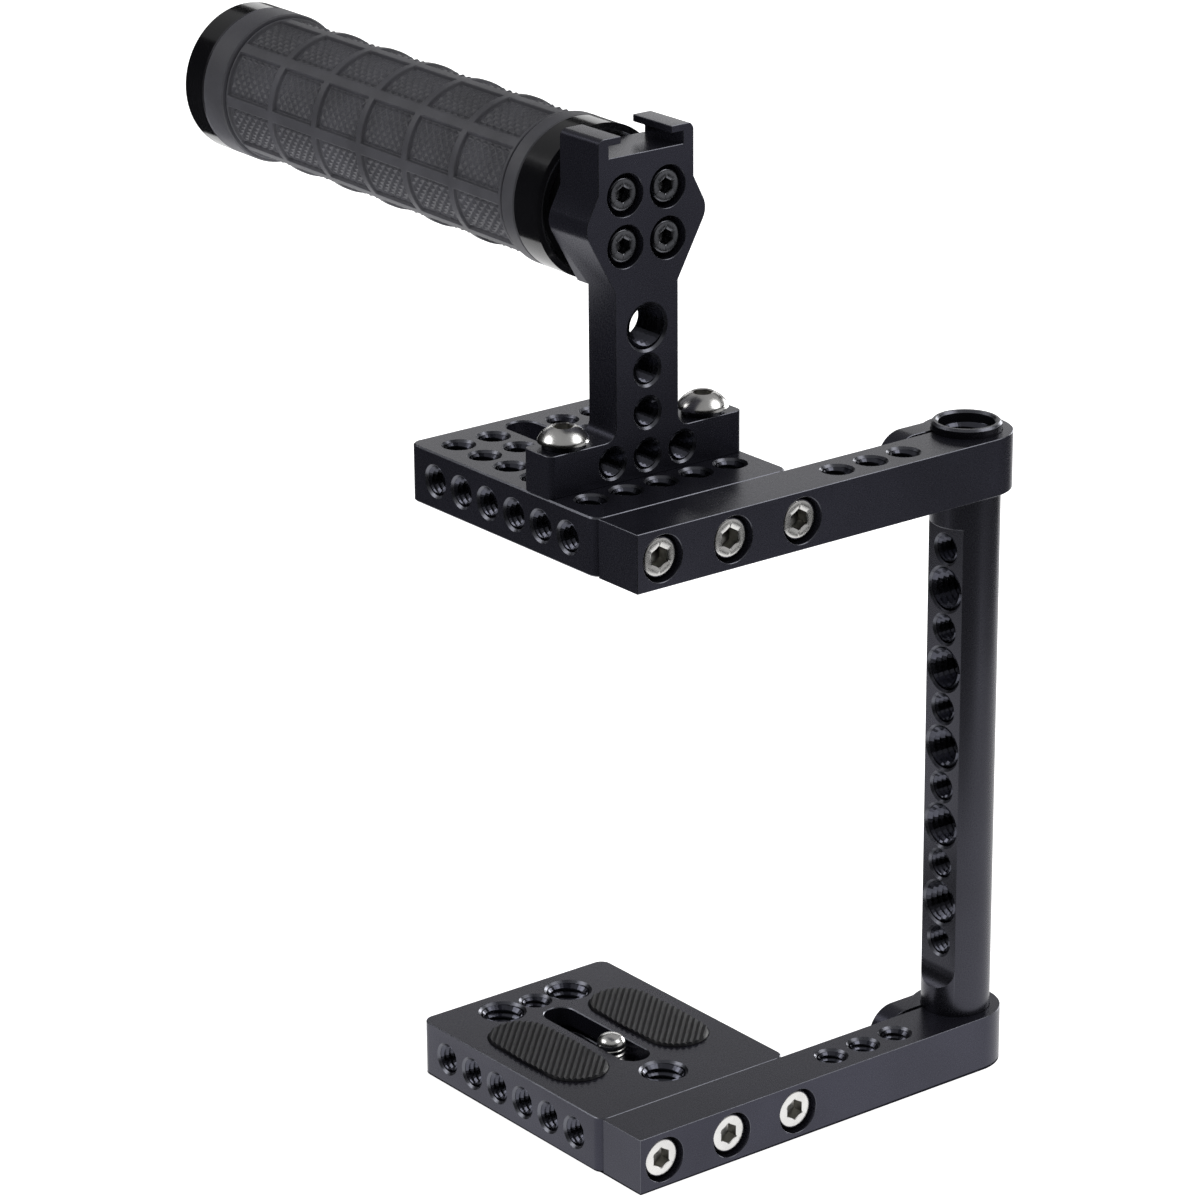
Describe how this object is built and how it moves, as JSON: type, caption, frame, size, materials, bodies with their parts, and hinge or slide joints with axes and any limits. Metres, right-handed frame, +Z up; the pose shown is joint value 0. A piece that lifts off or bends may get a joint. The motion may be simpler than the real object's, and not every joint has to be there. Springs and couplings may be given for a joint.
{
  "type": "camera half cage",
  "caption": "Half cage for a camera: tapped base plate and upper plate on arms clamped to a round rod, with camera screw, shoe and rubber top handle.",
  "frame": {"origin": "mouth of the tripod thread in the base plate's underside", "axes": "+X along the arms toward the rod, +Y toward the back, where the handle points (it rises 0.8 degrees), +Z up"},
  "size_m": [0.1058, 0.1712, 0.2173],
  "materials": {
    "black_anodised": "satin black anodised",
    "rod_anodised": "satin black anodised",
    "stainless": "bright",
    "black_screw": "black oxide",
    "dark_steel": "satin",
    "pad_rubber": "matt",
    "grip_rubber": "matt charcoal",
    "core_metal": "dark anodised",
    "gloss_black": "gloss black anodised"
  },
  "bodies": {
    "base": {"base_plate": "black_anodised", "base_arm": "black_anodised", "base_arm_screw_1": "stainless", "base_arm_screw_2": "stainless", "base_arm_screw_3": "stainless", "pad_left": "pad_rubber", "pad_right": "pad_rubber"},
    "slider": {"screw_slider": "dark_steel"},
    "washer": {"screw_washer": "dark_steel"},
    "screw": {"camera_screw": "stainless"},
    "base_pinch": {"base_clamp_screw": "black_screw"},
    "rod_body": {"rod": "rod_anodised"},
    "top": {"top_plate": "black_anodised", "top_arm": "black_anodised", "top_arm_screw_1": "stainless", "top_arm_screw_2": "stainless", "top_arm_screw_3": "stainless", "handle_post": "black_anodised", "foot_bolt_left": "stainless", "foot_bolt_right": "stainless", "foot_washer_left": "stainless", "foot_washer_right": "stainless", "head_screw_1": "black_screw", "head_screw_2": "black_screw", "head_screw_3": "black_screw", "head_screw_4": "black_screw", "grip_core": "core_metal", "grip_rubber": "grip_rubber", "front_collar": "gloss_black", "end_cap": "gloss_black"},
    "top_pinch": {"top_clamp_screw": "black_screw"}
  },
  "joints": [
    {"name": "camera_screw_slide", "type": "slide", "parent": "base", "child": "slider", "axis": [0, 1, 0], "range_m": [-0.0072, 0.0179]},
    {"name": "camera_screw_lift", "type": "slide", "parent": "slider", "child": "washer", "axis": [0, 0, 1], "range_m": [0, 0.0023]},
    {"name": "camera_screw_turn", "type": "hinge", "parent": "washer", "child": "screw", "pos_m": [0, 0.018, 0], "axis": [0, 0, 1], "continuous": true},
    {"name": "base_clamp_screw_turn", "type": "hinge", "parent": "base", "child": "base_pinch", "pos_m": [0.06, -0.0045, 0.00625], "axis": [0, 1, 0], "continuous": true},
    {"name": "rod_swing", "type": "hinge", "parent": "base", "child": "rod_body", "pos_m": [0.071, -0.0132, 0], "axis": [0, 0, 1], "range_deg": [-90, 90]},
    {"name": "top_height", "type": "slide", "parent": "rod_body", "child": "top", "axis": [0, 0, 1], "range_m": [-0.09, 0.003]},
    {"name": "top_clamp_screw_turn", "type": "hinge", "parent": "top", "child": "top_pinch", "pos_m": [0.06, -0.0045, 0.13825], "axis": [0, 1, 0], "continuous": true}
  ]
}
